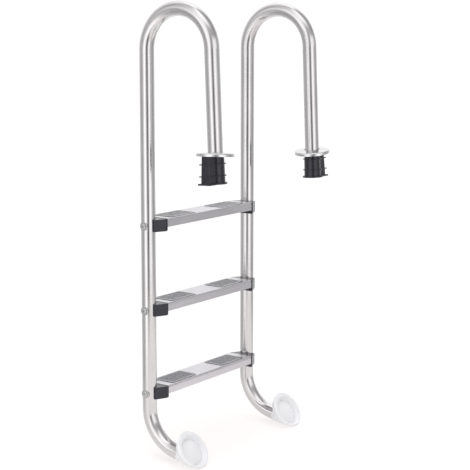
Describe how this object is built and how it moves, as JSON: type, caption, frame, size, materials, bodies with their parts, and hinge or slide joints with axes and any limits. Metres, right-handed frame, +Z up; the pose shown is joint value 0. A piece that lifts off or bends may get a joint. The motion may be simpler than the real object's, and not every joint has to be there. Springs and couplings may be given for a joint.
{
  "type": "pool ladder",
  "caption": "Hooked tube pool ladder with folded steel treads, grip pads, end caps, wall bumpers, floor covers and wedge deck anchors.",
  "frame": {"origin": "on the deck plane, the top of the right-hand deck anchor, midway between the two deck legs", "axes": "+Z up, +Y from the water to the deck, +X to the right of a user who climbs out facing the deck"},
  "size_m": [0.618, 0.3404, 1.3382],
  "materials": {
    "tube_steel": "bright polished stainless tube",
    "tread_steel": "satin stainless sheet",
    "cover_steel": "bright polished stainless sheet",
    "fastener_steel": "plain stainless",
    "grip_pad": "matt ribbed anti-slip",
    "black_plastic": "satin moulded",
    "wedge_plastic": "satin moulded",
    "bumper_rubber": "matt white"
  },
  "bodies": {
    "ladder": {"rail_left": "tube_steel", "rail_right": "tube_steel", "bumper_left": "bumper_rubber", "bumper_right": "bumper_rubber", "tread_1": "tread_steel", "pad_1_left": "grip_pad", "cap_1_left": "black_plastic", "pad_1_right": "grip_pad", "cap_1_right": "black_plastic", "tread_2": "tread_steel", "pad_2_left": "grip_pad", "cap_2_left": "black_plastic", "pad_2_right": "grip_pad", "cap_2_right": "black_plastic", "tread_3": "tread_steel", "pad_3_left": "grip_pad", "cap_3_left": "black_plastic", "pad_3_right": "grip_pad", "cap_3_right": "black_plastic", "tread_bolts": "fastener_steel", "tread_washers": "fastener_steel", "tread_nuts": "fastener_steel"},
    "anchor_left": {"anchor_left": "black_plastic"},
    "escutcheon_left": {"escutcheon_left": "cover_steel"},
    "wedge_left": {"wedge_left": "wedge_plastic"},
    "wedge_bolt_left": {"wedge_bolt_left": "fastener_steel"},
    "anchor_right": {"anchor_right": "black_plastic"},
    "escutcheon_right": {"escutcheon_right": "cover_steel"},
    "wedge_right": {"wedge_right": "wedge_plastic"},
    "wedge_bolt_right": {"wedge_bolt_right": "fastener_steel"}
  },
  "joints": [
    {"name": "anchor_left_height", "type": "slide", "parent": "ladder", "child": "anchor_left", "axis": [0, -0.0419, 0.9991], "range_m": [-0.06, 0.09]},
    {"name": "escutcheon_left_lift", "type": "slide", "parent": "anchor_left", "child": "escutcheon_left", "axis": [0, -0.0419, 0.9991], "range_m": [0, 0.18]},
    {"name": "wedge_bolt_left_turn", "type": "hinge", "parent": "anchor_left", "child": "wedge_bolt_left", "pos_m": [-0.2815, 0.00117, -0.02797], "axis": [0, -0.0419, 0.9991], "range_deg": [0, 1440]},
    {"name": "wedge_left_clamp", "type": "slide", "parent": "anchor_left", "child": "wedge_left", "axis": [0, -0.0419, 0.9991], "range_m": [-0.0051, 0]},
    {"name": "anchor_right_height", "type": "slide", "parent": "ladder", "child": "anchor_right", "axis": [0, -0.0419, 0.9991], "range_m": [-0.09, 0.06]},
    {"name": "escutcheon_right_lift", "type": "slide", "parent": "anchor_right", "child": "escutcheon_right", "axis": [0, -0.0419, 0.9991], "range_m": [0, 0.18]},
    {"name": "wedge_bolt_right_turn", "type": "hinge", "parent": "anchor_right", "child": "wedge_bolt_right", "pos_m": [0.2815, 0, 0], "axis": [0, -0.0419, 0.9991], "range_deg": [0, 1440]},
    {"name": "wedge_right_clamp", "type": "slide", "parent": "anchor_right", "child": "wedge_right", "axis": [0, -0.0419, 0.9991], "range_m": [-0.0051, 0]}
  ],
  "couplings": [
    {"joint": "wedge_left_clamp", "follows": "wedge_bolt_left_turn", "m_per_rad": -0.00019894},
    {"joint": "wedge_right_clamp", "follows": "wedge_bolt_right_turn", "m_per_rad": -0.00019894}
  ]
}
